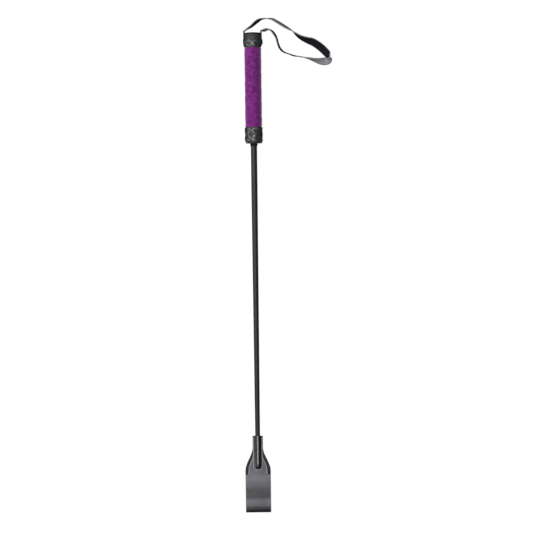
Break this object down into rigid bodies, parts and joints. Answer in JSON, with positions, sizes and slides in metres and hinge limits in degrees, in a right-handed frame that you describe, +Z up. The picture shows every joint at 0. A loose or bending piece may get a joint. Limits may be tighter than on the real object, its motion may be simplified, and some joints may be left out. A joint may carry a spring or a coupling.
{
  "type": "riding crop",
  "caption": "Short riding crop with a wrapped suede grip, knotted leather caps, a braided tapered shaft, a flat leather popper that bends, and a wrist strap.",
  "frame": {"origin": "middle of the crop without its wrist strap, on the surface it lies on", "axes": "+Y runs along the crop from the popper to the butt, +X to the right across the flat popper, +Z up from the surface"},
  "size_m": [0.1264, 0.681, 0.0279],
  "materials": {
    "cap_leather": "matte black leather, slightly worn",
    "strap_leather": "black leather, one face satin grey, the other matte",
    "popper_leather": "satin black leather",
    "purple_suede": "suede with a short nap",
    "braided_thread": "tight waxed braid",
    "black_thread": "waxed thread",
    "glass_fibre": "pultruded rod",
    "black_plastic": "moulded",
    "steel": "plain wire brad"
  },
  "bodies": {
    "crop": {"butt_disc": "cap_leather", "butt_plug": "black_plastic", "grip_core": "black_plastic", "suede_grip": "purple_suede", "upper_cap_sleeve": "cap_leather", "upper_knot": "cap_leather", "lower_cap_sleeve": "cap_leather", "lower_knot": "cap_leather", "lower_cap_washer": "cap_leather", "strap_end_left": "strap_leather", "strap_end_right": "strap_leather", "strap_tack_left": "steel", "strap_tack_right": "steel", "wrist_strap": "strap_leather", "core_rod": "glass_fibre", "shaft_cover": "braided_thread", "shaft_collar": "black_thread", "tip_cap": "black_plastic", "popper_neck": "popper_leather", "popper_seam_left": "black_thread", "popper_seam_right": "black_thread"},
    "popper": {"popper_blade": "popper_leather"}
  },
  "joints": [
    {"name": "popper_flex", "type": "hinge", "parent": "crop", "child": "popper", "pos_m": [0, -0.27308, 0.0048], "axis": [-1, 0, 0], "range_deg": [0, 60], "stiffness_Nm_per_rad": 0.12}
  ]
}
